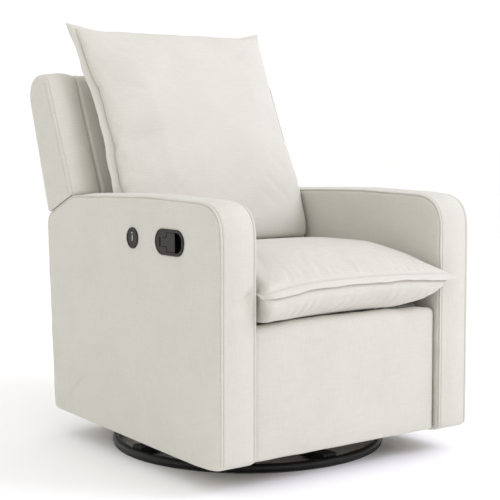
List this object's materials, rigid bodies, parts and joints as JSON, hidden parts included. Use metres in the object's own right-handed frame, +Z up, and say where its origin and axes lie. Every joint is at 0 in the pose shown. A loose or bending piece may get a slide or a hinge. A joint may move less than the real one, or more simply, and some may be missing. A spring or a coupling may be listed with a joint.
{
  "type": "glider nursery chair",
  "caption": "Upholstered swivel glider armchair with a reclining back, a fold-out footrest, loose flanged cushions, a pull handle and a charging port, on a round floor ring.",
  "frame": {"origin": "on the floor, on the axis that the chair swivels about", "axes": "+X to the sitter's left, -Y the way the sitter faces, +Z up"},
  "size_m": [0.7433, 0.9469, 1.066],
  "materials": {
    "upholstery": "fine linen-look weave, ivory",
    "deck_cloth": "plain woven lining",
    "black_steel": "satin black powder coat",
    "zinc_steel": "zinc plated",
    "frame_wood": "planed softwood, unfinished",
    "dark_plastic": "fine moulded texture, dark warm grey",
    "strip_rubber": "matt",
    "cable_jacket": "satin",
    "socket_steel": "bright nickel",
    "port_tongue": "white moulding",
    "led_lens": "green indicator lens"
  },
  "bodies": {
    "base": {"base_ring": "black_steel", "floor_strip": "strip_rubber", "base_crossbeam": "black_steel", "base_half_beams": "black_steel", "hub_plate": "black_steel", "bearing_lower_race": "zinc_steel", "bearing_balls": "zinc_steel", "swivel_bolt": "zinc_steel"},
    "turntable": {"bearing_upper_race": "zinc_steel", "turntable_plate": "black_steel", "glide_stands": "black_steel", "glide_upper_pins": "zinc_steel", "stand_bolts": "zinc_steel"},
    "glide_front": {"front_glide_links": "zinc_steel"},
    "glide_rear": {"rear_glide_links": "zinc_steel"},
    "chassis": {"carriage_rails": "black_steel", "glide_lower_pins": "zinc_steel", "lower_cross_rails": "frame_wood", "seat_rails": "frame_wood", "seat_springs": "zinc_steel", "seat_deck": "deck_cloth", "right_arm_frame": "frame_wood", "left_arm_frame": "frame_wood", "right_arm_cover": "upholstery", "left_arm_cover": "upholstery", "rear_rail": "frame_wood", "rear_panel": "upholstery", "seat_cushion": "upholstery", "recline_pivots": "zinc_steel", "footrest_side_plates": "zinc_steel", "footrest_plate_pins": "zinc_steel", "release_cable": "cable_jacket", "release_latch": "zinc_steel", "handle_bezel": "dark_plastic", "handle_hinge_pin": "zinc_steel", "usb_bezel": "dark_plastic", "usb_socket": "socket_steel", "usb_tongue": "port_tongue", "usb_led": "led_lens", "usb_lead": "cable_jacket", "power_inlet": "dark_plastic"},
    "backrest": {"back_stiles": "frame_wood", "back_rails": "frame_wood", "back_springs": "zinc_steel", "back_front_pad": "upholstery", "back_top_pad": "upholstery", "back_rear_panel": "upholstery", "right_back_wing": "upholstery", "left_back_wing": "upholstery", "recline_brackets": "zinc_steel", "back_pillow": "upholstery"},
    "footrest_lower": {"footrest_lower_links": "zinc_steel", "footrest_cross_tube": "black_steel", "footrest_elbow_pins": "zinc_steel"},
    "footrest_upper": {"footrest_upper_links": "zinc_steel"},
    "footrest": {"footrest_board": "frame_wood", "footrest_pad": "upholstery", "footrest_brackets": "zinc_steel", "footrest_panel_pins": "zinc_steel"},
    "handle": {"handle_lever": "dark_plastic"}
  },
  "joints": [
    {"name": "swivel", "type": "hinge", "parent": "base", "child": "turntable", "pos_m": [0, 0, 0.04], "axis": [0, 0, 1], "continuous": true},
    {"name": "glide", "type": "hinge", "parent": "turntable", "child": "glide_front", "pos_m": [0, -0.125, 0.19], "axis": [1, 0, 0], "range_deg": [-18, 18]},
    {"name": "glide_carriage", "type": "hinge", "parent": "glide_front", "child": "chassis", "pos_m": [0, -0.125, 0.08], "axis": [1, 0, 0], "range_deg": [-18, 18]},
    {"name": "glide_rear_swing", "type": "hinge", "parent": "turntable", "child": "glide_rear", "pos_m": [0, 0.125, 0.19], "axis": [1, 0, 0], "range_deg": [-18, 18]},
    {"name": "recline", "type": "hinge", "parent": "chassis", "child": "backrest", "pos_m": [0, 0.29, 0.395], "axis": [-1, 0, 0], "range_deg": [0, 30]},
    {"name": "footrest_open", "type": "hinge", "parent": "chassis", "child": "footrest_lower", "pos_m": [0, -0.322, 0.3], "axis": [-1, 0, 0], "range_deg": [0, 90]},
    {"name": "footrest_elbow", "type": "hinge", "parent": "footrest_lower", "child": "footrest_upper", "pos_m": [0, -0.31531, 0.13514], "axis": [-1, 0, 0], "range_deg": [-140, 0]},
    {"name": "footrest_tilt", "type": "hinge", "parent": "footrest_upper", "child": "footrest", "pos_m": [0, -0.358, 0.31], "axis": [-1, 0, 0], "range_deg": [0, 140]},
    {"name": "handle_pull", "type": "hinge", "parent": "chassis", "child": "handle", "pos_m": [-0.3692, -0.176, 0.541], "axis": [0, 0, -1], "range_deg": [0, 25], "stiffness_Nm_per_rad": 0.15}
  ],
  "couplings": [
    {"joint": "glide_carriage", "follows": "glide", "ratio": -1},
    {"joint": "glide_rear_swing", "follows": "glide", "ratio": 1},
    {"joint": "footrest_elbow", "follows": "footrest_open", "ratio": -1.5555},
    {"joint": "footrest_tilt", "follows": "footrest_open", "ratio": 1.5555}
  ]
}
